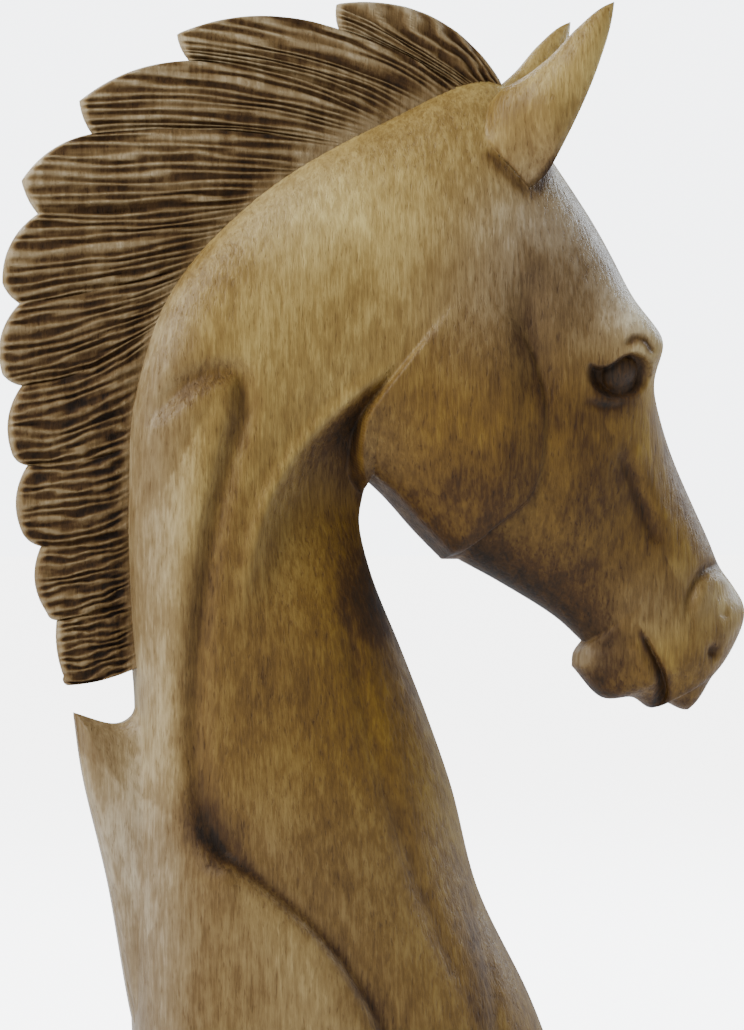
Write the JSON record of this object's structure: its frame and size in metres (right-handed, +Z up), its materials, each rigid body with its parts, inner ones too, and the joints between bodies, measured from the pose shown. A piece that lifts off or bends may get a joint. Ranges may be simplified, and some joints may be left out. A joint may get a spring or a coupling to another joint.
{
  "type": "carved wooden horse head bust",
  "caption": "Carved and stained wooden bust of a horse's head and arched neck, with a plate mane of grooved locks, cupped ears and a flat underside.",
  "frame": {"origin": "centre of the bounding box, on the flat underside", "axes": "+Z up, +X the way the horse looks, +Y towards the horse's left side"},
  "size_m": [0.4074, 0.139, 0.6014],
  "materials": {
    "carved_wood": "waxed satin, light on raised parts and stained dark in the cuts"
  },
  "bodies": {
    "root": {"horse_bust": "carved_wood"}
  },
  "joints": []
}
